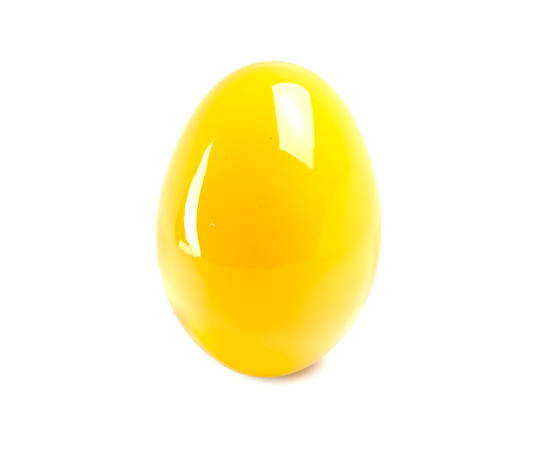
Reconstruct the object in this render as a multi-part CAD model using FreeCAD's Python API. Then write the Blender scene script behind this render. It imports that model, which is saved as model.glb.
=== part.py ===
"""Egg shaker, millimetres, +Z up.

A turned wooden egg made of two hollowed half shells, glued in a spigot-and-socket joint at the
widest section, coated with a continuous film of gloss lacquer, and filled with loose steel balls
that rattle between the dished floor and the domed ceiling of the cavity.

Frame: the origin is the centre of the small flat that the egg stands on, and +Z runs along the
axis of symmetry towards the narrow end. Profiles are (r, z) pairs, drawn in the XZ half plane
and revolved round Z.
"""
import FreeCAD, Part
import os
from math import acos, atan2, cos, exp, hypot, pi, sin, sqrt

Vector = FreeCAD.Vector

# ---------------------------------------------------------------- driving dimensions
EGG_HEIGHT = 70.0          # flat to tip, over the lacquer
EGG_DIAMETER = 45.0        # widest section, over the lacquer
# How the egg differs from an ellipsoid: taper, fullness, shoulder, tip
SHAPE = (-0.0922, -0.0964, 0.1408, 0.0911)
FLAT_CUT_R = 6.0           # radius at which the flat cuts the egg, before its rim is rounded
FLAT_RIM_R = 1.2           # rounding of the flat's rim

LACQUER = 0.25             # film thickness
SKIN_GAP = 0.01            # room kept between two solids that touch on the real object
SHELL_INSET = LACQUER + SKIN_GAP   # from the lacquered surface to the wood

SEAM_GAP = 0.02            # glue line between the two rims
SPIGOT_R = 20.0            # outside radius of the lower shell's spigot
SPIGOT_H = 4.0             # height of the spigot above the seam
SPIGOT_CHAMFER = 0.8
SOCKET_R = SPIGOT_R + 0.14       # radius of the upper shell's socket
SOCKET_DEPTH = SPIGOT_H + 0.35   # depth of the socket from the seam

BEAD_WIDTH = 0.9           # glue bead's reach inwards from the chamfer's top edge
BEAD_BULGE = 0.2           # how far its pointed inner side stands out further
BEAD_POINT_DROP = 0.12     # from the end of the socket down to that point

CAVITY_R = 17.8            # cavity radius at the seam
LOWER_WALL_R = 42.0        # radius of the cavity side's arc, lower half
UPPER_WALL_R = 50.6        # the same, upper half
CEILING_R = 11.0           # radius of the domed ceiling
FLOOR_Z = 8.0              # lowest point of the dished floor
FLOOR_R = 32.0             # radius of the dish
CORNER_R = 3.5             # rounding between floor and side

BALL_R = 2.0
BALL_CLEARANCE = 0.015     # room between a resting ball and the cavity's surface

# Spans between the points that the egg's curve is interpolated through
LOWER_SPANS = 20
UPPER_SPANS = 26

# Axes (x, y) of the settled balls, one layer on the dished floor. Neighbours are about 4.05 mm
# apart or more, so that each ball can rise past the ones next to it.
BALLS = (
    (-3.93, -1.25), (-0.23, -2.89), (3.15, -0.65), (0.94, 2.74), (-3.11, 2.71),
    (-7.78, -2.52), (-4.76, -5.22), (-1.05, -6.86), (2.79, -5.59), (6.17, -3.35),
    (6.99, 0.62), (4.79, 4.01), (1.76, 6.71), (-2.29, 6.68), (-6.13, 5.41),
    (-6.96, 1.44), (-8.61, -6.48), (-5.59, -9.18), (-1.88, -10.82), (1.97, -9.55),
    (5.81, -8.29), (9.19, -6.05), (10.01, -2.08), (10.84, 1.89), (8.63, 5.29),
    (5.61, 7.98), (2.58, 10.68), (-1.47, 10.65), (-5.31, 9.38), (-9.98, 4.14),
    (-10.80, 0.18),
)


# ---------------------------------------------------------------- outer profile
# A place on the egg's curve is given by its share of the full, uncut height: 0 at the wide end,
# 1 at the tip.
def unscaled_radius(share):
    s = 2.0 * share - 1.0
    stretch = exp(sum(c * s ** (k + 1) for k, c in enumerate(SHAPE)))
    return sqrt(max(share * (1.0 - share), 0.0)) * stretch


def find_widest():
    """Share of the widest section, by golden-section search."""
    low, high = 0.2, 0.8
    golden = (sqrt(5.0) - 1.0) / 2.0
    for _ in range(80):
        a = high - golden * (high - low)
        b = low + golden * (high - low)
        if unscaled_radius(a) > unscaled_radius(b):
            high = b
        else:
            low = a
    return (low + high) / 2.0


def bisect(is_below, low, high):
    """The share between low and high at which is_below turns false."""
    for _ in range(100):
        middle = (low + high) / 2.0
        if is_below(middle):
            low = middle
        else:
            high = middle
    return (low + high) / 2.0


WIDEST = find_widest()
R_SCALE = EGG_DIAMETER / 2.0 / unscaled_radius(WIDEST)


def radius(share):
    return R_SCALE * unscaled_radius(share)


FLAT = bisect(lambda share: radius(share) < FLAT_CUT_R, 1e-6, WIDEST)
FULL_HEIGHT = EGG_HEIGHT / (1.0 - FLAT)


def outer(share):
    """(r, z) of the lacquered surface."""
    return radius(share), (share - FLAT) * FULL_HEIGHT


def normal(share):
    """Unit outward normal (r, z) of the lacquered surface, from a short chord."""
    step = 1e-5
    r0, z0 = outer(max(share - step, 1e-9))
    r1, z1 = outer(min(share + step, 1.0))
    dr, dz = r1 - r0, z1 - z0
    length = hypot(dr, dz)
    return dz / length, -dr / length


def tangent(share):
    """Direction (r, z) of the curve towards the tip."""
    nr, nz = normal(share)
    return -nz, nr


def inset_point(share, inset):
    """The point that lies inset inside the lacquered surface."""
    r, z = outer(share)
    nr, nz = normal(share)
    return r - inset * nr, z - inset * nz


# Where the rounding of the flat's rim leaves the egg's curve, and the rounding's centre
RIM_END = bisect(lambda share: inset_point(share, FLAT_RIM_R)[1] < FLAT_RIM_R, FLAT, WIDEST)
RIM_CENTRE = (inset_point(RIM_END, FLAT_RIM_R)[0], FLAT_RIM_R)

SEAM_Z = outer(WIDEST)[1]
SPIGOT_TOP = SEAM_Z + SPIGOT_H
SOCKET_END = SEAM_Z + SOCKET_DEPTH


# ---------------------------------------------------------------- drawing and revolving profiles
def vector(r, z):
    return Vector(r, 0.0, z)


def line(start, end):
    return Part.makeLine(vector(*start), vector(*end))


def polyline(points):
    return [line(start, end) for start, end in zip(points, points[1:])]


def arc(centre, arc_r, start, end):
    """Arc of the circle round centre from start to end, the short way."""
    start_angle = atan2(start[1] - centre[1], start[0] - centre[0])
    end_angle = atan2(end[1] - centre[1], end[0] - centre[0])
    turn = (end_angle - start_angle + pi) % (2 * pi) - pi
    middle_angle = start_angle + turn / 2.0
    middle = (centre[0] + arc_r * cos(middle_angle), centre[1] + arc_r * sin(middle_angle))
    return Part.Arc(vector(*start), vector(*middle), vector(*end)).toShape()


def stations(start, end, spans):
    """Shares from start to end, crowded towards the two ends of the egg."""
    a, b = acos(1.0 - 2.0 * start), acos(1.0 - 2.0 * end)
    return [0.5 - 0.5 * cos(a + (b - a) * i / spans) for i in range(spans + 1)]


def egg_curve(start, end, inset, spans):
    """The inset egg's curve between two shares: its edge, first point and last point."""
    points = [inset_point(share, inset) for share in stations(start, end, spans)]
    end_tangent = tangent(end)
    if end > 1.0 - 1e-9:
        # The tip lies on the axis, where the curve runs level.
        points[-1] = (0.0, EGG_HEIGHT - inset)
        end_tangent = (-1.0, 0.0)
    curve = Part.BSplineCurve()
    curve.interpolate(
        [vector(*p) for p in points],
        InitialTangent=vector(*tangent(start)),
        FinalTangent=vector(*end_tangent),
    )
    return curve.toShape(), points[0], points[-1]


def base_outline(inset):
    """Flat, rounded rim and side up to the seam: the edges, and the last point."""
    flat_edge = (RIM_CENTRE[0], inset)
    curve, rim_end, seam = egg_curve(RIM_END, WIDEST, inset, LOWER_SPANS)
    edges = [
        line((0.0, inset), flat_edge),
        arc(RIM_CENTRE, FLAT_RIM_R - inset, flat_edge, rim_end),
        curve,
    ]
    return edges, seam


def revolve(edges):
    face = Part.Face(Part.Wire(Part.__sortEdges__(edges)))
    solid = face.revolve(Vector(0, 0, 0), Vector(0, 0, 1), 360)
    # A profile drawn the other way round gives an inside-out solid.
    if solid.Volume < 0:
        solid.reverse()
    return solid


# ---------------------------------------------------------------- cavity profile
def circles_meet(centre0, radius0, centre1, radius1):
    """The two points where two circles cross."""
    dr, dz = centre1[0] - centre0[0], centre1[1] - centre0[1]
    distance = hypot(dr, dz)
    er, ez = dr / distance, dz / distance
    along = (radius0 ** 2 - radius1 ** 2 + distance ** 2) / (2 * distance)
    across = sqrt(radius0 ** 2 - along ** 2)
    r, z = centre0[0] + along * er, centre0[1] + along * ez
    return [(r + across * ez, z - across * er), (r - across * ez, z + across * er)]


def towards(centre, distance, target):
    """The point at a distance from centre, in the direction of target."""
    dr, dz = target[0] - centre[0], target[1] - centre[1]
    factor = distance / hypot(dr, dz)
    return centre[0] + dr * factor, centre[1] + dz * factor


# Centres of the arcs; each arc is tangent to the next.
FLOOR_CENTRE = (0.0, FLOOR_Z + FLOOR_R)
LOWER_CENTRE = (CAVITY_R - LOWER_WALL_R, SEAM_Z)
UPPER_CENTRE = (CAVITY_R - UPPER_WALL_R, SEAM_Z)
CORNER_CENTRE = next(
    (r, z)
    for r, z in circles_meet(
        FLOOR_CENTRE, FLOOR_R - CORNER_R, LOWER_CENTRE, LOWER_WALL_R - CORNER_R)
    if r > 0 and z < SEAM_Z
)
CEILING_CENTRE = (
    0.0, SEAM_Z + sqrt((UPPER_WALL_R - CEILING_R) ** 2 - UPPER_CENTRE[0] ** 2))

# Ends of the arcs
FLOOR_BOTTOM = (0.0, FLOOR_Z)
FLOOR_END = towards(FLOOR_CENTRE, FLOOR_R, CORNER_CENTRE)
WALL_START = towards(LOWER_CENTRE, LOWER_WALL_R, CORNER_CENTRE)
CAVITY_SEAM = (CAVITY_R, SEAM_Z)
CEILING_START = towards(UPPER_CENTRE, UPPER_WALL_R, CEILING_CENTRE)
CEILING_TOP = (0.0, CEILING_CENTRE[1] + CEILING_R)


def upper_wall_point(z):
    """Point of the cavity's side above the seam, below the ceiling's dome."""
    return UPPER_CENTRE[0] + sqrt(UPPER_WALL_R ** 2 - (z - SEAM_Z) ** 2), z


# ---------------------------------------------------------------- pieces
def lower_shell():
    edges, seam = base_outline(SHELL_INSET)
    spigot_inner = upper_wall_point(SPIGOT_TOP)
    edges += polyline([
        seam,
        (SPIGOT_R, SEAM_Z),
        (SPIGOT_R, SPIGOT_TOP - SPIGOT_CHAMFER),
        (SPIGOT_R - SPIGOT_CHAMFER, SPIGOT_TOP),
        spigot_inner,
    ])
    edges += [
        arc(UPPER_CENTRE, UPPER_WALL_R, spigot_inner, CAVITY_SEAM),
        arc(LOWER_CENTRE, LOWER_WALL_R, CAVITY_SEAM, WALL_START),
        arc(CORNER_CENTRE, CORNER_R, WALL_START, FLOOR_END),
        arc(FLOOR_CENTRE, FLOOR_R, FLOOR_END, FLOOR_BOTTOM),
        line(FLOOR_BOTTOM, (0.0, SHELL_INSET)),
    ]
    return revolve(edges)


def upper_shell():
    rim_share = WIDEST + SEAM_GAP / FULL_HEIGHT
    curve, rim, tip = egg_curve(rim_share, 1.0, SHELL_INSET, UPPER_SPANS)
    socket_inner = upper_wall_point(SOCKET_END)
    edges = polyline([rim, (SOCKET_R, rim[1]), (SOCKET_R, SOCKET_END), socket_inner])
    edges += [
        arc(UPPER_CENTRE, UPPER_WALL_R, socket_inner, CEILING_START),
        arc(CEILING_CENTRE, CEILING_R, CEILING_START, CEILING_TOP),
        line(CEILING_TOP, tip),
        curve,
    ]
    return revolve(edges)


def glue_ring():
    """Film in the lap of the joint, with the bead that fills the corner over the chamfer."""
    bottom = SEAM_Z + 2 * SKIN_GAP
    top = SOCKET_END - SKIN_GAP
    film_inner = SPIGOT_R + SKIN_GAP
    film_outer = SOCKET_R - SKIN_GAP
    chamfer_r = SPIGOT_R - SPIGOT_CHAMFER
    bead_inner = chamfer_r - BEAD_WIDTH
    start = (film_inner, bottom)
    return revolve(polyline([
        start,
        (film_outer, bottom),
        (film_outer, top),
        (bead_inner, top),
        (bead_inner - BEAD_BULGE, SOCKET_END - BEAD_POINT_DROP),
        (bead_inner, SPIGOT_TOP + SKIN_GAP),
        (chamfer_r + SKIN_GAP, SPIGOT_TOP + SKIN_GAP),
        (film_inner, SPIGOT_TOP - SPIGOT_CHAMFER + SKIN_GAP),
        start,
    ]))


def egg_solid(inset):
    """The whole egg, inset from the lacquered surface, with the flat and its rounded rim."""
    edges, _ = base_outline(inset)
    curve, _, tip = egg_curve(WIDEST, 1.0, inset, UPPER_SPANS)
    return revolve(edges + [curve, line(tip, (0.0, inset))])


def lacquer_coat():
    return egg_solid(0.0).cut(egg_solid(LACQUER)).Solids[0]


def ball_rest_z(r):
    """Height of a resting ball's centre whose axis is r from the egg's axis."""
    reach = BALL_R + BALL_CLEARANCE
    if r <= towards(FLOOR_CENTRE, FLOOR_R - reach, CORNER_CENTRE)[0]:
        centre, arc_r = FLOOR_CENTRE, FLOOR_R
    elif r <= towards(LOWER_CENTRE, LOWER_WALL_R - reach, CORNER_CENTRE)[0]:
        centre, arc_r = CORNER_CENTRE, CORNER_R
    else:
        centre, arc_r = LOWER_CENTRE, LOWER_WALL_R
    return centre[1] - sqrt((arc_r - reach) ** 2 - (r - centre[0]) ** 2)


def ball(x, y):
    return Part.makeSphere(BALL_R, Vector(x, y, ball_rest_z(hypot(x, y))))


def write(name, shape):
    shape.exportStep("parts/" + name + ".step")


def main():
    os.makedirs("parts", exist_ok=True)
    write("lower_shell", lower_shell())
    write("upper_shell", upper_shell())
    write("glue_ring", glue_ring())
    write("lacquer_coat", lacquer_coat())
    for number, (x, y) in enumerate(BALLS, 1):
        write("ball_%02d" % number, ball(x, y))


main()
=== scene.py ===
"""Egg shaker: a lacquered wooden egg, turned in two glued halves, with steel balls inside.

Metres, +Z up. The egg stands on its small flat at the origin, blunt end down, and the camera
looks from -Y, so +X is on the right. Profiles are lists of (radius, z) in millimetres.
"""
from functools import reduce
from math import acos, atan2, cos, exp, hypot, pi, radians, sin, sqrt

import bpy
import numpy as np
from mathutils import Matrix, Vector
from mathutils.geometry import delaunay_2d_cdt


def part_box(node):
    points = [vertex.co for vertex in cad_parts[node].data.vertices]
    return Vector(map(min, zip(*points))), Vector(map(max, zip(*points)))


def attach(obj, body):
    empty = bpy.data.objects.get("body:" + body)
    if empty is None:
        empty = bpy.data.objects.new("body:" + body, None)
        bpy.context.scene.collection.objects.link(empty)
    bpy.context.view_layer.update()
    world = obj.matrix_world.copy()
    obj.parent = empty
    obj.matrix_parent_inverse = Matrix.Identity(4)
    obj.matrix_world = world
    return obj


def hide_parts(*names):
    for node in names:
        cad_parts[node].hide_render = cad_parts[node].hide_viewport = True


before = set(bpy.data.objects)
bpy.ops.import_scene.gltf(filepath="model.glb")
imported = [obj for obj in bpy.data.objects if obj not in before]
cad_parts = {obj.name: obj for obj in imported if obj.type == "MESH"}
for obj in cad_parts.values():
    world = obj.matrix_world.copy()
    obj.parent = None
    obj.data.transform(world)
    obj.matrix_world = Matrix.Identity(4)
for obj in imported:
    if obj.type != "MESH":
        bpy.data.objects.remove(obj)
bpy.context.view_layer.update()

scene = bpy.context.scene
MM = 0.001

# ------------------------------------------------------------------ dimensions (millimetres)
EGG_HEIGHT, EGG_DIAMETER = 70.0, 45.0
SHAPE = (-0.0922, -0.0964, 0.1408, 0.0911)  # powers 1 to 4 that pull an ellipse into an egg
FLAT_CUT_R, FLAT_RIM_R = 6.0, 1.2           # where the flat cuts the egg, and its rounded rim
LACQUER, SKIN_GAP = 0.25, 0.01
WOOD_INSET = LACQUER + SKIN_GAP
SPIGOT_R, SPIGOT_H, SPIGOT_CHAMFER = 20.0, 4.0, 0.8
SOCKET_R, SOCKET_DEPTH = 20.14, 4.35
SEAM_SLIT = 0.02
CAVITY_R, LOWER_WALL_R, UPPER_WALL_R = 17.8, 42.0, 50.6
CEILING_R, FLOOR_Z, FLOOR_R, CORNER_R = 11.0, 8.0, 32.0, 3.5
TOOL_PITCH, TOOL_DEPTH, TEAR_DEPTH = 0.9, 0.035, 0.012
BEAD_REACH, BEAD_NOSE = 1.1, 0.25           # glue bead: how far it spreads, its rounded edge
BALL_R = 2.0
ON_AXIS = 1e-6                              # a smaller radius counts as on the axis


# ------------------------------------------------------------------ the egg's profile
def shape(share):
    """Relative radius at a share of the full egg's height."""
    side = 2.0 * share - 1.0
    swell = exp(sum(c * side ** (k + 1) for k, c in enumerate(SHAPE)))
    return sqrt(max(share * (1.0 - share), 0.0)) * swell


def turning_point(test, low, high):
    """Where test turns from true to false between low and high."""
    for _ in range(100):
        middle = (low + high) / 2.0
        if test(middle):
            low = middle
        else:
            high = middle
    return (low + high) / 2.0


def widest_share():
    """Golden-section search for the widest place."""
    golden = (sqrt(5.0) - 1.0) / 2.0
    low, high = 0.2, 0.8
    for _ in range(80):
        below, above = high - golden * (high - low), low + golden * (high - low)
        if shape(below) > shape(above):
            high = above
        else:
            low = below
    return (low + high) / 2.0


WIDEST = widest_share()
RADIUS_SCALE = EGG_DIAMETER / 2.0 / shape(WIDEST)
FLAT = turning_point(lambda share: RADIUS_SCALE * shape(share) < FLAT_CUT_R, 1e-6, WIDEST)
FULL_HEIGHT = EGG_HEIGHT / (1.0 - FLAT)


def surface_point(share):
    return RADIUS_SCALE * shape(share), (share - FLAT) * FULL_HEIGHT


def surface_normal(share):
    nudge = 1e-5
    low = surface_point(max(share - nudge, 1e-9))
    high = surface_point(min(share + nudge, 1.0))
    run, rise = high[0] - low[0], high[1] - low[1]
    size = hypot(run, rise)
    return rise / size, -run / size


def inset_point(share, inset):
    radius, z = surface_point(share)
    out, up = surface_normal(share)
    return radius - inset * out, z - inset * up


RIM = turning_point(lambda share: inset_point(share, FLAT_RIM_R)[1] < FLAT_RIM_R, FLAT, WIDEST)
RIM_CENTRE = (inset_point(RIM, FLAT_RIM_R)[0], FLAT_RIM_R)
SEAM_Z = surface_point(WIDEST)[1]


def stations(start, end, steps):
    """Shares of the height from start to end, closer together towards the poles."""
    first, last = acos(1.0 - 2.0 * start), acos(1.0 - 2.0 * end)
    return [0.5 - 0.5 * cos(first + (last - first) * i / steps) for i in range(steps + 1)]


def sweep(centre, radius, first, turn, steps):
    angles = [first + turn * i / steps for i in range(steps + 1)]
    return [(centre[0] + radius * cos(a), centre[1] + radius * sin(a)) for a in angles]


def egg_profile(inset, steps, flat_steps, rim_steps, end=1.0):
    """Points from the centre of the flat up to a share of the height, inset from the surface."""
    flat = [(RIM_CENTRE[0] * i / flat_steps, inset) for i in range(flat_steps)]
    out, up = surface_normal(RIM)
    turn = atan2(up, out) + pi / 2
    rim = sweep(RIM_CENTRE, FLAT_RIM_R - inset, -pi / 2, turn, rim_steps)[:-1]
    points = flat + rim + [inset_point(share, inset) for share in stations(RIM, end, steps)]
    if end == 1.0:
        points[-1] = (0.0, EGG_HEIGHT - inset)
    return points


# ------------------------------------------------------------------ profile helpers
def arc_points(centre, radius, start, end, steps):
    """Points round centre from start to end, the short way, both ends in."""
    first = atan2(start[1] - centre[1], start[0] - centre[0])
    last = atan2(end[1] - centre[1], end[0] - centre[0])
    return sweep(centre, radius, first, (last - first + pi) % (2 * pi) - pi, steps)


def line_points(start, end, steps):
    run, rise = end[0] - start[0], end[1] - start[1]
    return [(start[0] + run * i / steps, start[1] + rise * i / steps) for i in range(steps + 1)]


def join(*chains):
    """One chain out of several, without doubled points."""
    out = []
    for chain in chains:
        for point in chain:
            if not out or hypot(point[0] - out[-1][0], point[1] - out[-1][1]) > 1e-6:
                out.append(point)
    return out


def path(corners, steps):
    """Straight lines from corner to corner, each cut into its number of steps."""
    return join(*(line_points(*ends) for ends in zip(corners, corners[1:], steps)))


def ease(points, reach, closed=False):
    """Rounds each corner that turns over 25 degrees, up to reach to each side."""
    out, count = [], len(points)
    for i, point in enumerate(points):
        if (not closed and i in (0, count - 1)) or point[0] < ON_AXIS:
            out.append(point)
            continue
        arms = [(q[0] - point[0], q[1] - point[1]) for q in (points[i - 1], points[(i + 1) % count])]
        lengths = [hypot(*arm) for arm in arms]
        dot = arms[0][0] * arms[1][0] + arms[0][1] * arms[1][1]
        cosine = max(-1.0, min(1.0, dot / (lengths[0] * lengths[1])))
        if 180.0 - np.degrees(acos(cosine)) < 25.0:
            out.append(point)
            continue
        shares = [min(reach, length * 0.45) / length for length in lengths]
        start, end = [(point[0] + arm[0] * share, point[1] + arm[1] * share)
                      for arm, share in zip(arms, shares)]
        for w in (0.0, 0.25, 0.5, 0.75, 1.0):
            out.append(tuple((1 - w) ** 2 * start[k] + 2 * w * (1 - w) * point[k] + w * w * end[k]
                             for k in (0, 1)))
    return out


# ------------------------------------------------------------------ mesh helpers
def lathe(profile, sides, shift=None, closed=False):
    """Turns a profile round the axis: vertices in metres, faces that look to its right.

    A profile point on the axis is one vertex. shift(radius, z, length, angle, index) gives how
    far each point moves along the outward normal, in millimetres; length runs along the
    profile and index counts its points.
    """
    points = np.array(profile, float)
    count = len(points)
    angle = 2 * pi * np.arange(sides) / sides
    radius, z = (np.repeat(points[:, k:k + 1], sides, 1) for k in (0, 1))
    if shift is not None:
        if closed:
            along = np.roll(points, -1, 0) - np.roll(points, 1, 0)
        else:
            along = np.gradient(points, axis=0)
        out = np.stack([along[:, 1], -along[:, 0]], -1)
        out /= np.maximum(np.hypot(out[:, 0], out[:, 1]), 1e-9)[:, None]
        length = np.concatenate([[0.0], np.cumsum(np.hypot(*np.diff(points, axis=0).T))])
        move = shift(radius, z, length[:, None], angle[None, :], np.arange(count)[:, None])
        radius, z = radius + move * out[:, :1], z + move * out[:, 1:]
    x, y = radius * np.cos(angle), radius * np.sin(angle)
    verts, rings = [], []
    for i in range(count):
        if points[i, 0] < ON_AXIS:
            rings.append([len(verts)])
            verts.append((0.0, 0.0, float(z[i].mean()) * MM))
        else:
            rings.append(list(range(len(verts), len(verts) + sides)))
            verts += [(x[i, j] * MM, y[i, j] * MM, z[i, j] * MM) for j in range(sides)]
    faces = []
    for ring, following in zip(rings, rings[1:] + (rings[:1] if closed else [])):
        if len(ring) == 1 and len(following) == 1:
            continue
        for j in range(sides):
            k = (j + 1) % sides
            if len(ring) == 1:
                faces.append((ring[0], following[k], following[j]))
            elif len(following) == 1:
                faces.append((ring[j], ring[k], following[0]))
            else:
                faces.append((ring[j], ring[k], following[k], following[j]))
    return verts, faces


def ripple(seed, terms, across, along):
    """A sum of sines; across (x and y) and along (z) spread the waves per millimetre."""
    rng = np.random.RandomState(seed)
    waves = rng.normal(size=(terms, 3)) * np.array([across, across, along]) * 2 * pi
    phases = rng.uniform(0, 2 * pi, terms)

    def height(radius, z, angle):
        x, y = radius * np.cos(angle), radius * np.sin(angle)
        total = 0.0
        for (in_x, in_y, in_z), phase in zip(waves, phases):
            total = total + np.sin(in_x * x + in_y * y + in_z * z + phase)
        return total / sqrt(terms)

    return height


def new_mesh(name, verts, faces):
    mesh = bpy.data.meshes.new(name)
    mesh.from_pydata([tuple(v) for v in verts], [], [tuple(f) for f in faces])
    mesh.validate()
    mesh.update()
    mesh.polygons.foreach_set("use_smooth", [True] * len(mesh.polygons))
    ob = bpy.data.objects.new(name, mesh)
    scene.collection.objects.link(ob)
    return ob


def paint(ob, mat):
    ob.data.materials.clear()
    ob.data.materials.append(mat)


# ------------------------------------------------------------------ shader helpers
class Signal:
    """A shader output that does arithmetic: each operator adds a Math node."""

    def __init__(self, shader, socket):
        self.shader, self.socket = shader, socket

    def __getitem__(self, key):
        """Another output of the same node."""
        return Signal(self.shader, self.socket.node.outputs[key])

    def __add__(self, other):
        return self.shader.math("ADD", self, other)

    def __sub__(self, other):
        return self.shader.math("SUBTRACT", self, other)

    def __rsub__(self, other):
        return self.shader.math("SUBTRACT", other, self)

    def __mul__(self, other):
        return self.shader.math("MULTIPLY", self, other)

    def __truediv__(self, other):
        return self.shader.math("DIVIDE", self, other)

    def __pow__(self, other):
        return self.shader.math("POWER", self, other)

    def __abs__(self):
        return self.shader.math("ABSOLUTE", self)

    def maximum(self, other):
        return self.shader.math("MAXIMUM", self, other)

    def span(self, over, to=(0.0, 1.0), kind="SMOOTHSTEP"):
        """Goes from to[0] to to[1] as the signal goes from over[0] to over[1]."""
        return self.shader.add("MapRange", {
            "Value": self, "From Min": over[0], "From Max": over[1],
            "To Min": to[0], "To Max": to[1]}, interpolation_type=kind)

    def length(self):
        return self.shader.vector("LENGTH", self, out=1)

    def distance(self, point):
        return self.shader.vector("DISTANCE", self, point, out=1)

    def xyz(self):
        parts = self.shader.add("SeparateXYZ", {"Vector": self})
        return parts[0], parts[1], parts[2]


class Shader:
    """Short calls that build a node tree and pass Signals about."""

    def __init__(self, tree):
        self.tree = tree
        tree.nodes.clear()

    def add(self, kind, inputs=(), out=0, **settings):
        node = self.tree.nodes.new("ShaderNode" + kind)
        for name, value in settings.items():
            setattr(node, name, value)
        for key, value in dict(inputs).items():
            if isinstance(value, Signal):
                self.tree.links.new(value.socket, node.inputs[key])
            elif value is not None:
                node.inputs[key].default_value = value
        return Signal(self, node.outputs[out])

    def finish(self, kind, surface):
        node = self.tree.nodes.new(kind)
        self.tree.links.new(surface.socket, node.inputs["Surface"])

    def object_coords(self):
        return self.add("TexCoord", out="Object")

    def math(self, operation, *values):
        return self.add("Math", enumerate(values), operation=operation)

    def vector(self, operation, *values, out=0):
        return self.add("VectorMath", enumerate(values), out, operation=operation)

    def mix(self, factor, base, over, blend="MIX"):
        return self.add("Mix", {0: factor, 6: base, 7: over}, 2, data_type="RGBA", blend_type=blend)

    def mix_value(self, factor, base, over):
        return self.add("Mix", {0: factor, 2: base, 3: over}, data_type="FLOAT")

    def colour(self, red, green, blue):
        return self.add("CombineColor", {"Red": red, "Green": green, "Blue": blue})

    def noise(self, coords, scale, detail=2.0, rough=0.5, out=0):
        return self.add("TexNoise", {"Vector": coords, "Scale": scale, "Detail": detail,
                                     "Roughness": rough, "Distortion": 0.0}, out)

    def place(self, coords, scale, turn=(0, 0, 0), shift=(0, 0, 0)):
        return self.add("Mapping", {"Vector": coords, "Scale": scale, "Rotation": turn,
                                    "Location": shift})

    def relief(self, *layers):
        """Stacks bumps, each a height signal and its depth in metres."""
        normal = None
        for height, depth in layers:
            normal = self.add("Bump", {"Height": height, "Distance": depth, "Strength": 1.0,
                                       "Normal": normal})
        return normal


def strongest(signals):
    return reduce(Signal.maximum, signals)


def material(name, build):
    """A material whose surface is what build(shader) returns."""
    mat = bpy.data.materials.new(name)
    mat.use_nodes = True
    shader = Shader(mat.node_tree)
    shader.finish("ShaderNodeOutputMaterial", build(shader))
    return mat


# ------------------------------------------------------------------ materials of the object
# dust caught in the wet film: x, y, z, radius (millimetres)
SPECKS = (
    (-6.19, -4.30, 67.99, 0.16), (-0.42, -12.22, 63.96, 0.22), (-8.47, -12.72, 59.42, 0.17),
    (3.11, -14.26, 60.61, 0.12), (-1.65, -18.29, 52.57, 0.12), (-14.40, -11.21, 52.87, 0.13),
    (-14.45, -11.80, 51.78, 0.13), (1.48, -20.49, 18.98, 0.17), (6.44, -21.44, 34.80, 0.12),
    (17.2, 6.1, 50.3, 0.16), (-9.3, 16.9, 47.4, 0.18), (4.4, 21.1, 30.2, 0.14),
    (-21.0, 5.0, 28.0, 0.15),
)
# the pale fleck: x, y, z of overlapping dots (millimetres)
FLECK = ((-10.67, -17.08, 47.11), (-10.50, -17.20, 47.06), (-10.35, -17.33, 47.00),
         (-10.22, -17.41, 46.96))
FLECK_OUTER, FLECK_CORE = 0.15, 0.08


def spots(coords, rows):
    """1 inside the core of each spot, 0 outside it; rows are x, y, z, outer and core radius."""
    return strongest([coords.distance((x * MM, y * MM, z * MM)).span(over=(outer * MM, core * MM))
                      for x, y, z, outer, core in rows])


def yellow_lacquer(shader):
    coords = shader.object_coords()
    even, paler, fibre_tint = (0.97, 0.462, 0.0, 1), (0.97, 0.478, 0.0, 1), (0.96, 0.44, 0.0, 1)
    speck_tint, dust_tint = (0.42, 0.13, 0.0, 1), (0.60, 0.24, 0.0, 1)
    fleck_tint = (1.0, 0.93, 0.62, 1)
    cloud = shader.noise(coords, scale=60.0)
    fine = shader.noise(shader.place(coords, scale=(1, 1, 0.25)), scale=900.0, detail=3.0, rough=0.6)
    colour = shader.mix(cloud.span(over=(0.3, 0.7)), even, paler)
    colour = shader.mix(fine.span(over=(0.45, 0.75)) * 0.05, colour, fibre_tint)
    # large specks, fine dust in a few of the cells, and the fleck, each at its own opacity
    speck = spots(coords, [(x, y, z, size * 1.2, size * 0.4) for x, y, z, size in SPECKS])
    cells = shader.add("TexVoronoi", {"Vector": coords, "Scale": 190.0}, out="Distance")
    cell_value = shader.add("SeparateColor", {"Color": cells["Color"]})
    dust = shader.math("GREATER_THAN", cell_value, 0.62) * cells.span(over=(0.022, 0.010))
    colour = shader.mix(speck * 0.75, colour, speck_tint)
    colour = shader.mix(dust * 0.22, colour, dust_tint)
    fleck = spots(coords, [(*dot, FLECK_OUTER, FLECK_CORE) for dot in FLECK])
    colour = shader.mix(fleck * 0.9, colour, fleck_tint)
    # the wood's fibres show through the film as a vertical ripple, over a soft orange peel
    fibre = shader.noise(shader.place(coords, scale=(1, 1, 0.30)), scale=1500.0, rough=0.55)
    peel = shader.noise(coords, scale=420.0, detail=1.0, rough=0.4)
    wave = shader.noise(coords, scale=95.0, detail=0.0)
    grit = shader.noise(coords, scale=2100.0, detail=1.0)
    smudge = shader.noise(coords, scale=140.0, detail=3.0, rough=0.6)
    return shader.add("BsdfPrincipled", {
        "Base Color": colour,
        "Roughness": smudge.span(over=(0.3, 0.75), to=(0.025, 0.05)),
        "IOR": 1.5,
        "Normal": shader.relief((wave, 0.00002), (peel, 0.000006), (fibre, 0.000008),
                                (grit, 0.0000055), (speck, 0.00001))})


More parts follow.
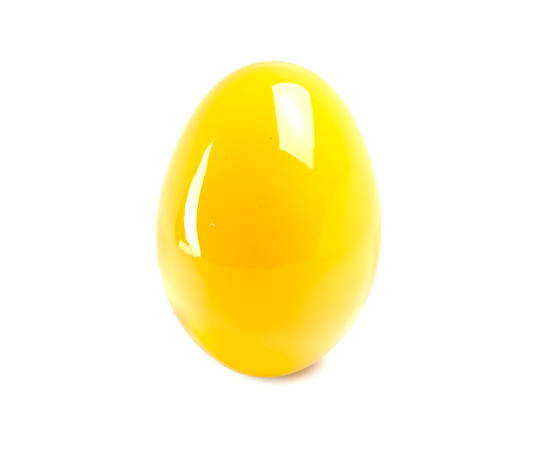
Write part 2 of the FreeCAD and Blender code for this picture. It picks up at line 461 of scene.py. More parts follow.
def turned_wood(shader):
    coords = shader.object_coords()
    early, late_tint = (0.56, 0.36, 0.19, 1), (0.40, 0.225, 0.10, 1)
    fibre_tint, ray_tint = (0.66, 0.45, 0.26, 1), (0.30, 0.16, 0.075, 1)
    rings_per_metre, warp_size = 520.0, 0.004
    tool_pitch, tool_wander = 0.00055, 0.0006
    # the grain runs along the egg's axis; the pith is well off the axis
    from_pith = shader.place(coords, scale=(1, 1, 0.04), shift=(0.031, 0.012, 0))
    warp = shader.noise(shader.place(coords, scale=(1, 1, 0.15)), scale=45.0, out=1)
    warp = shader.vector("SUBTRACT", warp, (0.5, 0.5, 0.5))
    warp = shader.add("VectorMath", {0: warp, "Scale": warp_size}, operation="SCALE")
    warped = shader.vector("ADD", from_pith, warp)
    pith_distance = shader.vector("MULTIPLY", warped, (1, 1, 0)).length()
    ring = shader.math("FRACT", pith_distance * rings_per_metre)
    # each ring darkens slowly outwards and ends sharply
    late = ring.span(over=(0.55, 0.97)) * ring.span(over=(1.0, 0.985))
    fibre = shader.noise(shader.place(coords, scale=(1, 1, 0.02)), scale=3200.0, detail=3.0, rough=0.6)
    ray = shader.noise(shader.place(coords, scale=(1, 1, 0.12)), scale=900.0, rough=0.6)
    colour = shader.mix(late, early, late_tint)
    colour = shader.mix(fibre.span(over=(0.35, 0.75)) * 0.35, colour, fibre_tint)
    colour = shader.mix(ray.span(over=(0.55, 0.8)) * 0.22, colour, ray_tint)
    wander = shader.noise(coords, scale=30.0, detail=0.0) * tool_wander
    tool = shader.math("SINE", (coords.xyz()[2] + wander) * (2 * pi / tool_pitch))
    return shader.add("BsdfPrincipled", {
        "Base Color": colour,
        "Roughness": fibre.span(over=(0.3, 0.7), to=(0.55, 0.78)),
        "IOR": 1.45,
        "Normal": shader.relief((tool, 0.000012), (fibre, 0.00003))})


def wood_glue(shader):
    coords = shader.object_coords()
    amber, cream, bubble_tint = (0.78, 0.66, 0.40, 1), (0.88, 0.79, 0.56, 1), (0.95, 0.9, 0.75, 1)
    cloud = shader.noise(coords, scale=160.0, detail=3.0, rough=0.6)
    bubbles = shader.add("TexVoronoi", {"Vector": coords, "Scale": 1400.0}, out="Distance")
    colour = shader.mix(cloud.span(over=(0.3, 0.7)), amber, cream)
    colour = shader.mix(bubbles.span(over=(0.22, 0.12)) * 0.4, colour, bubble_tint)
    return shader.add("BsdfPrincipled", {
        "Base Color": colour,
        "Roughness": cloud.span(over=(0.3, 0.7), to=(0.25, 0.45)),
        "IOR": 1.48,
        "Normal": shader.relief((cloud, 0.00012), (bubbles, 0.00004))})


def steel_ball(shader):
    # each ball reads its own part of the textures
    chance = shader.add("ObjectInfo", out="Random")
    own_shift = shader.add("CombineXYZ", {"X": chance, "Y": chance})
    coords = shader.vector("ADD", shader.object_coords(), own_shift)
    bright, stained = (0.66, 0.66, 0.67, 1), (0.42, 0.38, 0.33, 1)
    scuff = shader.noise(coords, scale=2600.0, detail=4.0, rough=0.65)
    stain = shader.noise(coords, scale=700.0, detail=3.0, rough=0.55)
    streaks = shader.place(coords, scale=(1, 0.06, 0.3), turn=(0.4, 0.9, 0.2))
    scratch = shader.noise(streaks, scale=9000.0, detail=1.0)
    rough = scuff.span(over=(0.35, 0.75), to=(0.10, 0.26)) + scratch.span(over=(0.6, 0.7)) * 0.15
    return shader.add("BsdfPrincipled", {
        "Base Color": shader.mix(stain.span(over=(0.45, 0.75)), bright, stained),
        "Metallic": 1.0,
        "Roughness": rough,
        "Normal": shader.relief((scuff, 0.000004), (scratch, 0.000003))})


MATERIALS = {build.__name__: material(build.__name__, build)
             for build in (yellow_lacquer, turned_wood, wood_glue, steel_ball)}


# ------------------------------------------------------------------ the cavity's arcs
def circles_meet(first, first_r, second, second_r):
    apart = hypot(second[0] - first[0], second[1] - first[1])
    along = (first_r ** 2 - second_r ** 2 + apart ** 2) / (2 * apart)
    aside = sqrt(first_r ** 2 - along ** 2)
    out, up = (second[0] - first[0]) / apart, (second[1] - first[1]) / apart
    x, z = first[0] + along * out, first[1] + along * up
    return [(x + aside * up, z - aside * out), (x - aside * up, z + aside * out)]


def on_circle(centre, radius, point):
    """The point of the circle that lies towards a point."""
    grow = radius / hypot(point[0] - centre[0], point[1] - centre[1])
    return centre[0] + (point[0] - centre[0]) * grow, centre[1] + (point[1] - centre[1]) * grow


FLOOR_C = (0.0, FLOOR_Z + FLOOR_R)
LOWER_C = (CAVITY_R - LOWER_WALL_R, SEAM_Z)
UPPER_C = (CAVITY_R - UPPER_WALL_R, SEAM_Z)
CORNER_C = [p for p in circles_meet(FLOOR_C, FLOOR_R - CORNER_R, LOWER_C, LOWER_WALL_R - CORNER_R)
            if p[0] > 0 and p[1] < SEAM_Z][0]
CEILING_C = (0.0, SEAM_Z + sqrt((UPPER_WALL_R - CEILING_R) ** 2 - UPPER_C[0] ** 2))
FLOOR_END = on_circle(FLOOR_C, FLOOR_R, CORNER_C)
WALL_START = on_circle(LOWER_C, LOWER_WALL_R, CORNER_C)
CEILING_START = on_circle(UPPER_C, UPPER_WALL_R, CEILING_C)
CEILING_TOP = (0.0, CEILING_C[1] + CEILING_R)


def upper_wall_point(z):
    return UPPER_C[0] + sqrt(UPPER_WALL_R ** 2 - (z - SEAM_Z) ** 2), z


# ------------------------------------------------------------------ pieces
def piece(name, mesh, slot, node, rides="shell"):
    ob = new_mesh(name, *mesh)
    paint(ob, MATERIALS[slot])
    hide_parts(node)
    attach(ob, rides)


def lacquer_coat():
    rng = np.random.RandomState(7)
    # per wave: count round the egg, pitch up it, two phases, height
    waves = [(rng.randint(2, 6), rng.uniform(0.10, 0.22), rng.uniform(0, 2 * pi),
              rng.uniform(0, 2 * pi), rng.uniform(0.001, 0.003)) for _ in range(7)]

    def unevenness(radius, z, length, angle, index):
        """The film's slow unevenness, fading out towards the flat and the tip."""
        fade = np.clip((z - 1.5) / 6.0, 0, 1) * np.clip(radius / 6.0, 0, 1)
        wave = sum(height * np.sin(count * angle + round_phase) * np.sin(pitch * z + up_phase)
                   for count, pitch, round_phase, up_phase, height in waves)
        return -fade * (0.5 * np.abs(wave) + 0.5 * wave + 0.003)

    verts, faces = lathe(egg_profile(0.0, steps=178, flat_steps=5, rim_steps=10), 384, unevenness)
    inner_verts, inner_faces = lathe(egg_profile(LACQUER, steps=90, flat_steps=3, rim_steps=6), 192)
    faces += [tuple(i + len(verts) for i in reversed(face)) for face in inner_faces]
    piece("lacquer", (verts + inner_verts, faces), "yellow_lacquer", "lacquer_coat")


def tooled(start, end, seed):
    """The cutter's spiral in the wood between two profile indices, with the grain's tear-out."""
    fibre = ripple(seed, terms=14, across=0.9, along=0.05)
    chatter = ripple(seed + 1, terms=8, across=0.25, along=0.2)

    def cut(radius, z, length, angle, index):
        fade = np.clip((index - start) / 6.0, 0, 1) * np.clip((end - index) / 6.0, 0, 1)
        groove = 0.5 - 0.5 * np.cos(2 * pi * length / TOOL_PITCH + angle)
        uneven = np.clip(1.0 + 0.3 * chatter(radius, z, angle), 0.3, 1.8)
        tear = TEAR_DEPTH * np.abs(fibre(radius, z, angle)) * np.clip(radius / 3.0, 0, 1)
        return -fade * (TOOL_DEPTH * groove * uneven + tear)

    return cut


def lower_half():
    top, ledge = SEAM_Z + SPIGOT_H, SPIGOT_R - SPIGOT_CHAMFER
    outside = egg_profile(WOOD_INSET, steps=44, flat_steps=6, rim_steps=6, end=WIDEST)
    spigot = path((outside[-1], (SPIGOT_R, SEAM_Z), (SPIGOT_R, top - SPIGOT_CHAMFER), (ledge, top),
                   upper_wall_point(top)), steps=(4, 8, 3, 4))
    waist = (CAVITY_R, SEAM_Z)
    inside = join(arc_points(UPPER_C, UPPER_WALL_R, spigot[-1], waist, 30),
                  arc_points(LOWER_C, LOWER_WALL_R, waist, WALL_START, 110),
                  arc_points(CORNER_C, CORNER_R, WALL_START, FLOOR_END, 34),
                  arc_points(FLOOR_C, FLOOR_R, FLOOR_END, (0.0, FLOOR_Z), 110))
    profile = ease(join(outside, spigot, inside), 0.13)
    end = len(profile)
    mesh = lathe(profile, 180, tooled(end - len(inside), end - 1, seed=11))
    piece("lower_half", mesh, "turned_wood", "lower_shell")


def upper_half():
    shares = stations(WIDEST + SEAM_SLIT / FULL_HEIGHT, 1.0, 64)
    outside = [inset_point(share, WOOD_INSET) for share in shares]
    outside[-1] = (0.0, EGG_HEIGHT - WOOD_INSET)
    rim, depth = outside[0][1], SEAM_Z + SOCKET_DEPTH
    wall_end = upper_wall_point(depth)
    inside = join(arc_points(CEILING_C, CEILING_R, CEILING_TOP, CEILING_START, 110),
                  arc_points(UPPER_C, UPPER_WALL_R, CEILING_START, wall_end, 130))
    socket = path((wall_end, (SOCKET_R, depth), (SOCKET_R, rim), outside[0]), steps=(4, 8, 4))
    profile = ease(outside + inside + socket[1:-1], 0.10, closed=True)
    tip = next(i for i, point in enumerate(profile) if point[0] < ON_AXIS)
    last = max(i for i, point in enumerate(profile) if point[1] > depth + 0.2)
    mesh = lathe(profile, 180, tooled(tip + 1, last, seed=23), closed=True)
    piece("upper_half", mesh, "turned_wood", "upper_shell")


def glue_bead():
    """The film in the lap, and the squeezed-out bead whose free edge runs in and out."""
    # the glue's faces, a gap away from the wood
    inner, outer = SPIGOT_R + SKIN_GAP, SOCKET_R - SKIN_GAP
    foot, roof = SEAM_Z + 2 * SKIN_GAP, SEAM_Z + SOCKET_DEPTH - SKIN_GAP
    spigot_top, ledge = SEAM_Z + SPIGOT_H + SKIN_GAP, SPIGOT_R - SPIGOT_CHAMFER
    nose_r = ledge - BEAD_REACH + BEAD_NOSE
    film = path(((inner, foot), (outer, foot), (outer, roof), (nose_r, roof)), steps=(2, 10, 12))
    nose = [(nose_r - BEAD_NOSE * sin(pi * i / 8),
             (roof + spigot_top) / 2 + (roof - spigot_top) / 2 * cos(pi * i / 8))
            for i in range(1, 8)]
    back = path(((nose_r, spigot_top), (ledge + SKIN_GAP, spigot_top),
                 (inner, spigot_top - SPIGOT_CHAMFER), (inner, foot)), steps=(8, 4, 8))[:-1]
    profile = film + nose + back
    first, last = len(film) - 8, len(film) + len(nose) + 6
    sides, count = 360, len(profile)
    angles = 2 * pi * np.arange(sides) / sides
    rng = np.random.RandomState(5)
    run = sum(rng.uniform(0.3, 1.0) * np.sin(k * angles + rng.uniform(0, 2 * pi))
              for k in (2, 3, 5, 8, 13, 21, 34)) / 3.0
    # drips: angle, width (radians), relative height
    drips = ((0.7, 0.05, 0.5), (1.9, 0.08, 0.35), (3.3, 0.04, 0.45), (4.2, 0.07, 0.3),
             (5.6, 0.05, 0.5))
    drip = sum(np.exp(-(((angles - at + pi) % (2 * pi) - pi) / width) ** 2) * height
               for at, width, height in drips)
    # a positive pull draws the free edge back into the groove
    pull = np.clip(0.22 * run - drip * 0.45, -0.42, 0.34)
    verts = []
    for i, (radius, z) in enumerate(profile):
        weight = min(1.0, max(0.0, (ledge - radius) / BEAD_REACH)) if first <= i <= last else 0.0
        verts += [(spread * cos(angle) * MM, spread * sin(angle) * MM, z * MM)
                  for spread, angle in zip(radius + weight * pull, angles)]
    faces = []
    for i in range(count):
        ring, following = i * sides, (i + 1) % count * sides
        for j in range(sides):
            k = (j + 1) % sides
            faces.append((ring + j, ring + k, following + k, following + j))
    piece("glue_bead", (verts, faces), "wood_glue", "glue_ring")


def ball(node, seed):
    """A steel ball: nearly round, with the small bruises of years of rattling."""
    centre = [(low + high) / 2 / MM for low, high in zip(*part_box(node))]
    rng = np.random.RandomState(100 + seed)
    hits = rng.normal(size=(26, 3))
    hits /= np.linalg.norm(hits, axis=1)[:, None]
    widths, depths = rng.uniform(0.10, 0.30, 26), rng.uniform(0.002, 0.009, 26)

    def dents(radius, z, length, angle, index):
        point = np.stack([radius * np.cos(angle), radius * np.sin(angle), z], -1) / BALL_R
        total = 0.0
        for hit, width, depth in zip(hits, widths, depths):
            total = total - depth * np.exp(-np.sum((point - hit) ** 2, -1) / (width * width))
        return total - 0.001

    profile = [(BALL_R * sin(pi * i / 32) if 0 < i < 32 else 0.0, -BALL_R * cos(pi * i / 32))
               for i in range(33)]
    verts, faces = lathe(profile, 56, dents)
    verts = [tuple(value + middle * MM for value, middle in zip(vert, centre)) for vert in verts]
    piece("steel_" + node, (verts, faces), "steel_ball", node, rides=node)


lacquer_coat()
lower_half()
upper_half()
glue_bead()
for i, node in enumerate(sorted(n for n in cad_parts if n.startswith("ball_"))):
    ball(node, i)

# ------------------------------------------------------------------ what stands round the egg
AIM = Vector((0.0, 0.0, 0.035))

# Outlines are (azimuth, elevation) in degrees seen from AIM; see direction().
# the edge that the dark room and the window share, from the top down
WINDOW_EDGE = [
    (-90.3, 10.7), (-90.8, 8.7), (-91.8, 5.9), (-92.1, 3.7), (-92.8, 1.2), (-93, -0.5),
    (-92.7, -2.4), (-92.7, -3.8), (-93.2, -5.6), (-93.6, -6.8), (-94.5, -8.3), (-94.7, -9.4),
    (-94.1, -10.3), (-94.3, -11.1),
]
# the unlit side of the room, in front and overhead
OPENING = [
    (-95.9, -11.9), (-98.6, -13.1), (-100.7, -14.6), (-101.5, -16), (-101.9, -17.5),
    (-102.9, -19.1), (-103.7, -20.7), (-104, -22.1), (-103.6, -23.5), (-103.2, -24.8),
    (-102.2, -25.9), (-100.7, -26.9), (-98.7, -27.3), (-96, -27.5), (-92.9, -27.4), (-89.5, -27),
    (-85.7, -26.5), (-80.5, -25.9), (-75.3, -25.2), (-70.4, -24.2), (-65.5, -23.2), (-62.2, -23.1),
    (-57.7, -22.9), (-53.3, -22.8), (-49, -22.6), (-44.8, -22.4), (-40.7, -22), (-34.8, -21.4),
    (-29.9, -20.8), (-25.1, -20.3), (-20.4, -19.9), (-15.8, -19.5), (-11.1, -19), (-6.5, -18.7),
    (-2.8, -18.4), (0.8, -18), (4.5, -17.6), (8.1, -17.3), (11.8, -17.1), (16.4, -16.9),
    (21.1, -16.8), (24.9, -16.9), (28.7, -16.7), (31.5, -16.5), (34.4, -16.3), (38.3, -16.4),
    (41.6, -16.5), (43, -15.6), (44.7, -14.4), (46.7, -13.3), (48.7, -12.5), (50.5, -11.7),
    (51.5, -10.6), (52.5, -9.3), (53.6, -8.3), (55, -7.3), (56.3, -6.3), (58.1, -5.3),
    (60.4, -4.3), (62.8, -3.7), (65.7, -3.5), (68.2, -3.1), (70.5, -2.2), (73, -1.5),
    (76.6, -1.7), (81.6, -2.3), (86.5, -2.8), (91.7, -3.5), (97.1, -4.7), (102.2, -6),
    (104.2, -5.6), (102.6, -2), (99.6, 4.3), (97.9, 12.9), (100.8, 21.5), (107.1, 31.2),
    (115.6, 36.3), (125.8, 38.8), (134.3, 38.8), (142.5, 39.1), (148.9, 40.6), (155.5, 43),
    (160.7, 45.1), (167.6, 46.2), (174.3, 46.8), (-179.2, 46.6), (-172.5, 47.4), (-165.1, 47.5),
    (-158.5, 46.5), (-151.4, 45.1), (-144.9, 44.9), (-136.1, 45.3), (-129.1, 44.7),
    (-123.5, 43.2), (-119.5, 40.7), (-115.3, 38.1), (-111.2, 35.1), (-107.1, 33.1),
    (-102.4, 31.4), (-98.7, 28.4), (-94.7, 24.9), (-91.9, 21.3), (-90.3, 17.8), (-89.7, 14.6),
    (-89.5, 12),
] + WINDOW_EDGE
# the lamp, high on the right
SOFTBOX = [
    (-172.2, 63.4), (-177.2, 60.2), (176, 57.7), (170.1, 55.5), (165.8, 52.9), (161.2, 49.7),
    (156.3, 46.9), (151.8, 44.4), (146.9, 42.5), (141.7, 40.6), (136.8, 39.6), (132.5, 39.8),
    (125, 41.6), (115.6, 42.7), (105, 42.2), (95.5, 40.6), (86.9, 38.5), (79.8, 35.6), (74, 32.3),
    (69.3, 28.9), (64.7, 25.9), (61, 22.8), (58, 19.8), (55.4, 17), (53.5, 15), (52.2, 14),
    (50.1, 15.6), (46.9, 18), (43.7, 20.3), (39.6, 22.8), (35.4, 25.3), (31.7, 27.4),
    (27.8, 29.5), (23.7, 31.4), (18.6, 33.0), (14.2, 34.0), (12.0, 34.9), (12.3, 37.2),
    (12.9, 40.9), (12.2, 44.7), (11.4, 48.8), (11.1, 53.1), (10.8, 57.6), (10.5, 65), (11, 68.9),
    (11.2, 74.4), (11.5, 80.1), (12.5, 87), (179.8, 85.9), (-175.8, 79.4), (-173.8, 72.5),
    (-172.7, 66.2),
]
# the tall window on the left
STRIP = [
    (-89.5, 12), (-88.8, 9.7), (-86.8, 7.3), (-86.3, 5.5), (-83.9, 3.8), (-82.6, 1.8),
    (-81.7, 0.6), (-81.6, -0.9), (-81.1, -2.1), (-80.7, -3.4), (-80.7, -4.7), (-80.6, -5.9),
    (-80.2, -7.3), (-79.5, -8.6), (-78.7, -10.1), (-78.1, -11.7), (-77.3, -13.3), (-76.5, -14.2),
    (-75, -15.6), (-73.4, -16.8), (-71.9, -18), (-70.3, -18.9), (-68.7, -19.9), (-67.3, -21),
    (-66, -22.2), (-65.5, -22.9), (-70.5, -23.6), (-74.9, -23.7), (-78.6, -23.5), (-79.5, -23.2),
    (-81.7, -22.4), (-84.2, -22.2), (-86.3, -21.2), (-87.9, -20.1), (-89.5, -19.1),
    (-91.1, -18.2), (-92.3, -17.1), (-93.4, -16.1), (-94.1, -15.3), (-94.5, -14.6),
    (-94.4, -13.8), (-94.6, -13), (-94.7, -12.2),
] + WINDOW_EDGE[::-1]
# the pale clutter below the window
SMEAR = [
    (-92.6, -24.9), (-88, -24.4), (-83.8, -23.9), (-79.5, -23.2), (-78.6, -23.5), (-74.9, -23.7),
    (-70.5, -23.6), (-65.5, -22.9), (-70.4, -24), (-76.6, -25.2), (-81.9, -25.9), (-86, -26.5),
    (-90.4, -27), (-93.8, -27.1), (-96, -27.1), (-95.1, -26.1),
]
# the gap between the sheet and the card on the right, as a line
CARD_GAP = [
    (41.6, -16.6), (45.3, -17.7), (50.5, -18.9), (55.7, -19.8), (61.1, -20.6), (67.9, -21.8),
    (73.8, -23.1),
]
# the softbox's bright tube: azimuth, elevation, strength
SOFTBOX_CORE = ((109, 75, 9.0), (80, 71, 10.5), (65, 62.6, 10.5), (60, 53.5, 10.5),
                (57, 45.6, 8.0), (54, 39.7, 5.0))


def direction(azimuth, elevation):
    """Azimuth 0 is the camera's side (-Y), 90 is +X."""
    turn, rise = radians(azimuth), radians(elevation)
    return Vector((sin(turn) * cos(rise), -cos(turn) * cos(rise), sin(rise)))


def dome_patch(name, outline, centre, radius, step):
    """A piece of a sphere round AIM inside an outline, meshed on a stereographic plane."""
    pole = Vector(centre).normalized()
    across = pole.cross(Vector((0, 0, 1))).normalized()
    along = across.cross(pole)

    def flatten(ray):
        scale = 1.0 / (1.0 + ray.dot(pole))
        return Vector((ray.dot(across) * scale, ray.dot(along) * scale))

    def lift(point):
        square = point.x * point.x + point.y * point.y
        scale = 2.0 / (1.0 + square)
        return (across * (point.x * scale) + along * (point.y * scale)
                + pole * ((1.0 - square) / (1.0 + square)))

    ring = [flatten(direction(*place)) for place in outline]
    points = []
    for start, end in zip(ring, ring[1:] + ring[:1]):
        count = max(1, int((end - start).length / step))
        points += [start.lerp(end, i / count) for i in range(count)]
    edge_count = len(points)
    low = Vector((min(p.x for p in ring), min(p.y for p in ring)))
    high = Vector((max(p.x for p in ring), max(p.y for p in ring)))
    y = low.y
    while y < high.y:
        x = low.x
        while x < high.x:
            points.append(Vector((x + 0.31 * step, y + 0.17 * step)))
            x += step
        y += step
    edges = [(i, (i + 1) % edge_count) for i in range(edge_count)]
    flat = delaunay_2d_cdt(points, edges, [], 1, 1e-6)
    return new_mesh(name, [AIM + lift(point) * radius for point in flat[0]], flat[2])


def ribbon(name, line, width, radius):
    """A thin band on the sphere round AIM along a line; width is in degrees to each side."""
    verts = []
    for i, (azimuth, elevation) in enumerate(line):
        half = width * sin(pi * (i + 0.6) / (len(line) + 0.2))
        verts += [AIM + direction(azimuth, elevation + side) * radius for side in (-half, half)]
    faces = [(2 * i, 2 * i + 1, 2 * i + 3, 2 * i + 2) for i in range(len(line) - 1)]
    return new_mesh(name, verts, faces)


def show_to(ob, camera=False, diffuse=False, glossy=False, shadow=False):
    ob.visible_camera = camera
    ob.visible_diffuse = diffuse
    ob.visible_glossy = glossy
    ob.visible_transmission = False
    ob.visible_volume_scatter = False
    ob.visible_shadow = shadow


def mirrored_only(ob, glow):
    """Makes an object shine with strength glow(shader), for reflections alone."""
    def surface(shader):
        return shader.add("Emission", {"Color": (1, 1, 1, 1), "Strength": glow(shader)})

    paint(ob, material(ob.name, surface))
    show_to(ob, glossy=True)


def ray_from_aim(shader):
    position = shader.add("NewGeometry", out="Position")
    return shader.vector("NORMALIZE", shader.vector("SUBTRACT", position, tuple(AIM)))


def near(ray, azimuth, elevation, over, peak=1.0):
    """Falls from peak to 0 with the chord length from a direction."""
    return ray.distance(tuple(direction(azimuth, elevation))).span(over=over, to=(peak, 0.0))


def dark_room_glow(shader):
    """Brightest at middle height, with a glow on the right and broken light by the window."""
    z = shader.add("NewGeometry", out="Position").xyz()[2] - AIM.z
    glow = (z.span(over=(-0.13, 0.20), to=(0.0, 0.85))
            * z.span(over=(0.2, 0.8), to=(1.0, 0.65), kind="LINEAR"))
    ray = ray_from_aim(shader)
    glow = glow + near(ray, azimuth=97, elevation=-3, over=(0.08, 0.42), peak=0.80)
    patches = shader.noise(ray, scale=26.0, rough=0.6).span(over=(0.50, 0.72), to=(0.0, 2.5))
    return glow + near(ray, azimuth=-98, elevation=-20, over=(0.05, 0.22)) * patches


def softbox_glow(shader):
    """The lamp's tube shows through its cloth as a brighter core."""
    ray = ray_from_aim(shader)
    core = strongest([near(ray, azimuth, elevation, over=(0.03, 0.33)) * strength
                      for azimuth, elevation, strength in SOFTBOX_CORE])
    return ray.xyz()[2].span(over=(0.26, 0.85), to=(7.6, 15.0), kind="LINEAR") + core


def smear_glow(shader):
    clutter = shader.noise(ray_from_aim(shader), scale=14.0, detail=3.0, rough=0.6)
    return clutter.span(over=(0.35, 0.7), to=(3.5, 8.5))


def window_glow(shader):
    """Brightest a little above its lower end, fading towards the sill."""
    z = ray_from_aim(shader).xyz()[2]
    return (z.span(over=(-0.16, -0.26), to=(13.2, 17.8))
            * z.span(over=(-0.335, -0.405), to=(1.0, 0.5)))


def world_surface(shader):
    """White to the camera; to reflections, walls with a horizon and a pale sheet below."""
    light = shader.add("LightPath")
    x, y, z = shader.add("TexCoord", out="Generated").xyz()
    on_right = x.span(over=(-0.2, 0.2))
    right_wall = (z.span(over=(-0.2, -0.5), to=(1.58, 1.38))
                  - y.span(over=(0.58, 0.32), to=(0.0, 0.36)) * z.span(over=(-0.25, -0.05)))
    left_wall = z.span(over=(0.1, -0.5), to=(0.88, 1.32))
    wall = shader.mix_value(on_right, left_wall, right_wall)
    low_behind = y.span(over=(0.88, 0.97)) * z.span(over=(-0.02, -0.25))
    wall = shader.mix_value(low_behind, wall, 1.0)
    horizon = (abs(z - 0.08).span(over=(0.16, 0.04), to=(0.0, 0.45))
               * y.span(over=(0.96, 0.99)))
    sheet_front = shader.mix_value(on_right, y.span(over=(-0.40, -0.12)),
                                   y.span(over=(-0.75, -0.35)))
    sheet_strength = shader.mix_value(on_right, base=0.85, over=1.05)
    sheet = ((z.span(over=(-0.36, -0.56)) * y.span(over=(0.85, 0.20)))
             * (sheet_front * sheet_strength))
    strength = light["Is Camera Ray"] + light["Is Glossy Ray"] * (wall + horizon + sheet)
    return shader.add("Background", {"Color": (1, 1, 1, 1), "Strength": strength})


world = bpy.data.worlds.new("studio")
scene.world = world
world.use_nodes = True
world_shader = Shader(world.node_tree)
world_shader.finish("ShaderNodeOutputWorld", world_surface(world_shader))

# name, outline, middle of the patch, radius (m), mesh step, glow
for name, outline, centre, radius, step, glow in (
        ("dark_room", OPENING, (0, -0.6, 0.8), 1.0, 0.05, dark_room_glow),
        ("softbox", SOFTBOX, (0.3, -0.3, 0.8), 0.93, 0.05, softbox_glow),
        ("smear", SMEAR, (-1, -0.1, -0.4), 0.92, 0.03, smear_glow),
        ("strip", STRIP, (-1, -0.1, 0), 0.93, 0.03, window_glow)):
    mirrored_only(dome_patch(name, outline, centre, radius, step), glow)
mirrored_only(ribbon("card_gap", CARD_GAP, width=0.8, radius=0.95), lambda shader: 0.9)

# ------------------------------------------------------------------ broad light
# The suns make no highlight: the panels above are what the lacquer mirrors.
SUN_ANGLE = 40
# azimuth, elevation (degrees), strength
SUNS = (
    (90, 3, 0.78), (90, 20, 1.64), (90, 40, 1.66), (90, 60, 1.60), (-90, 3, 1.36),
    (-90, 20, 1.39), (-120, 15, 0.92), (-120, 45, 0.38), (-150, 20, 0.83), (-30, 20, 0.80),
    (0, 5, 0.64), (0, 20, 0.72), (0, 40, 0.14), (180, 80, 0.46),
)
for azimuth, elevation, strength in SUNS:
    name = "soft_%d_%d" % (azimuth, elevation)
    light = bpy.data.lights.new(name, "SUN")
    light.angle = radians(SUN_ANGLE)
    light.energy = strength
    sun = bpy.data.objects.new(name, light)
    scene.collection.objects.link(sun)
    sun.rotation_mode = "QUATERNION"
    sun.rotation_quaternion = direction(azimuth, elevation).to_track_quat("Z", "Y")
    sun.visible_glossy = False
    sun.visible_camera = False


# ------------------------------------------------------------------ the floor (metres)
def contact_shade(shader, coords):
    """The tight warm shade that the camera sees where the egg touches down."""
    oval = shader.place(coords, scale=(1.0, 1.3, 1.0), shift=(-0.003, 0.0013, 0.0))
    shade = oval.length().span(over=(0.0037, 0.0126), to=(0.05, 1.0))
    x = coords.xyz()[0]
    return shader.colour(shade ** x.span(over=(0.0, 0.006), to=(0.68, 0.56)), shade,
                         shade ** x.span(over=(0.0, 0.006), to=(1.22, 1.42)))


def mirrored_floor(shader, coords, x, y, reach):
    """What the lacquer mirrors: pools of lamplight, the egg's shadow and its yellow light."""
    across = (-0.004, 0.004)
    on_right = x.span(over=across)
    aside = abs(x) / reach
    # pools to both sides, cut off towards the back along a line that slants on the right
    pool = (on_right * aside.span(over=(0.30, 0.93), to=(0.10, 0.92))
            + (1.0 - on_right) * aside.span(over=(0.70, 0.96), to=(0.0, 0.90)))
    slant = (x - 0.020).maximum(0.0) * 0.55
    back_edge = (x.span(over=across, to=(0.024, 0.010)), x.span(over=across, to=(0.002, -0.008)))
    pool = pool * (y - slant).span(over=back_edge)
    left_front = aside.span(over=(0.70, 0.96)) * y.span(over=(0.006, -0.004))
    pool = pool + left_front * x.span(over=(-0.004, -0.020), to=(0.0, 0.36))
    # the egg's own shadow leans to the left, with a fainter one at its right foot
    shade = coords.distance((-0.0075, -0.003, 0.0)).span(over=(0.012, 0.033), to=(0.12, 1.0))
    right_foot = x.span(over=(0.0, 0.006)) * reach.span(over=(0.032, 0.013), to=(0.0, 0.32))
    shade = shade * (1.0 - right_foot)
    mirrored = (pool + 1.30) * shade
    # at least this much behind, less right at the foot
    off_foot = coords.distance((0.002, 0.001, 0.0)).span(over=(0.0060, 0.0130))
    at_foot = shader.mix_value(off_foot, base=0.35, over=1.0)
    mirrored = mirrored.maximum(at_foot * y.span(over=(-0.014, -0.003), to=(0.0, 0.80)))
    # yellow light that the egg throws round its foot, but not behind on the left
    round_foot = coords.distance((0.002, 0.002, 0.0)).span(over=(0.015, 0.025), to=(0.25, 0.0))
    behind_left = x.span(over=(-0.004, -0.010)) * y.span(over=(-0.010, -0.005))
    bounce = (at_foot * round_foot) * (1.0 - behind_left)
    left_spot = coords.distance((-0.0225, -0.0125, 0.0))
    bounce = bounce + left_spot.span(over=(0.003, 0.0125), to=(0.68, 0.0))
    # warmer at the foot
    return shader.colour((mirrored + bounce) * shader.mix_value(off_foot, base=1.7, over=1.0),
                         (mirrored + bounce) * shader.mix_value(off_foot, base=1.1, over=1.0),
                         mirrored * shader.mix_value(off_foot, base=0.6, over=1.0))


def thrown_light(x, y, reach):
    """What the sheet throws up at the egg: most from in front and the left, by rings."""
    sector, blur = (0.55, 0.86), 0.002
    in_front = ((y * -1.0) / reach).span(over=sector)
    on_left = ((x * -1.0) / reach).span(over=sector)
    inner, middle, outer = [
        reach.span(over=(start - blur, start + blur)) * reach.span(over=(end + blur, end - blur))
        for start, end in ((0.012, 0.030), (0.030, 0.060), (0.060, 0.250))]
    thrown = (in_front * (inner * 1.30 + middle * 2.36)
              + on_left * (inner * 1.25 + middle * 0.80 + outer * 0.28))
    return thrown + ((x / reach).span(over=sector) * inner) * 0.15


def floor_surface(shader):
    coords = shader.object_coords()
    light = shader.add("LightPath")
    camera = light["Is Camera Ray"]
    black, emitted = (0.0, 0.0, 0.0, 1), (0.86, 0.86, 0.86, 1)
    paper = (0.255, 0.255, 0.255, 1), (0.265, 0.265, 0.262, 1)
    grain = shader.noise(coords, scale=25.0).span(over=(0.3, 0.7))
    touch = contact_shade(shader, coords)
    tone = shader.mix(1.0, touch, shader.mix(grain, *paper), blend="MULTIPLY")
    x, y, _ = coords.xyz()
    reach = coords.length() + 0.0001    # never zero, since it divides
    mirrored = mirrored_floor(shader, coords, x, y, reach)
    thrown = thrown_light(x, y, reach) * light["Is Diffuse Ray"]
    glow = shader.mix(camera, shader.mix(light["Is Glossy Ray"], black, mirrored),
                      shader.mix(1.0, touch, emitted, blend="MULTIPLY"))
    glow = shader.mix(1.0, glow, shader.colour(thrown, thrown, thrown), blend="ADD")
    return shader.add("BsdfPrincipled", {
        "Base Color": shader.mix(camera, black, tone), "Roughness": 0.6,
        "Specular IOR Level": 0.0, "Emission Color": glow, "Emission Strength": 1.0})


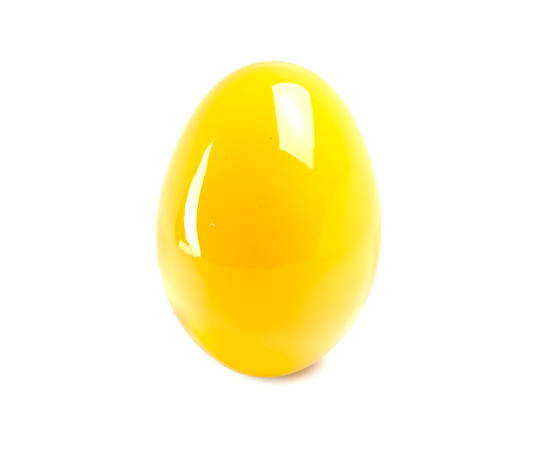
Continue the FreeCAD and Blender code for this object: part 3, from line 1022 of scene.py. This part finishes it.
def disc(name, inner, outer, mat, sides=96):
    """A flat ring, or a full disc when inner is 0."""
    radii = [inner + (outer - inner) * (i / 8) ** 2 for i in range(9)]
    verts, faces = [], []
    if inner == 0:
        radii = radii[1:]
        verts.append((0, 0, 0))
        faces += [(0, 1 + j, 1 + (j + 1) % sides) for j in range(sides)]
    base = len(verts)
    for radius in radii:
        verts += [(radius * cos(2 * pi * j / sides), radius * sin(2 * pi * j / sides), 0)
                  for j in range(sides)]
    for i in range(len(radii) - 1):
        ring = base + i * sides
        for j in range(sides):
            k = (j + 1) % sides
            faces.append((ring + j, ring + sides + j, ring + sides + k, ring + k))
    ob = new_mesh(name, verts, faces)
    paint(ob, mat)
    return ob


# the lacquer mirrors only the near part
NEAR_FLOOR_R, FAR_FLOOR_R = 0.075, 3.0
pale_floor = material("pale_floor", floor_surface)
near_floor = disc("floor_near", 0, NEAR_FLOOR_R, pale_floor)
far_floor = disc("floor_far", NEAR_FLOOR_R, FAR_FLOOR_R, pale_floor)
show_to(near_floor, camera=True, diffuse=True, glossy=True, shadow=True)
show_to(far_floor, camera=True, diffuse=True, shadow=True)

# ------------------------------------------------------------------ camera and view
ELEVATION, ROLL = 38.0, 2.58    # degrees
DISTANCE = 0.45                 # metres from AIM
lens = bpy.data.cameras.new("camera")
lens.sensor_width = 36.0
lens.lens = 149.629091
lens.shift_x = 0.0104909091
lens.shift_y = -0.00714545455
lens.clip_start, lens.clip_end = 0.01, 20.0
camera = bpy.data.objects.new("camera", lens)
scene.collection.objects.link(camera)
back = direction(0, ELEVATION)
camera.location = AIM + back * DISTANCE
camera.rotation_mode = "QUATERNION"
roll = Matrix.Rotation(radians(ROLL), 4, "Z").to_quaternion()
camera.rotation_quaternion = (-back).to_track_quat("-Z", "Y") @ roll
scene.camera = camera

scene.view_settings.view_transform = "Standard"
scene.view_settings.look = "None"
scene.view_settings.use_curve_mapping = True
curves = scene.view_settings.curve_mapping
# a toe in the blue curve takes the last blue out of the yellows
blue = curves.curves[2]
for level, result in ((0.075, 0.0), (0.3, 0.245)):
    blue.points.new(level, result)
for point in blue.points:
    point.handle_type = "VECTOR"
curves.update()
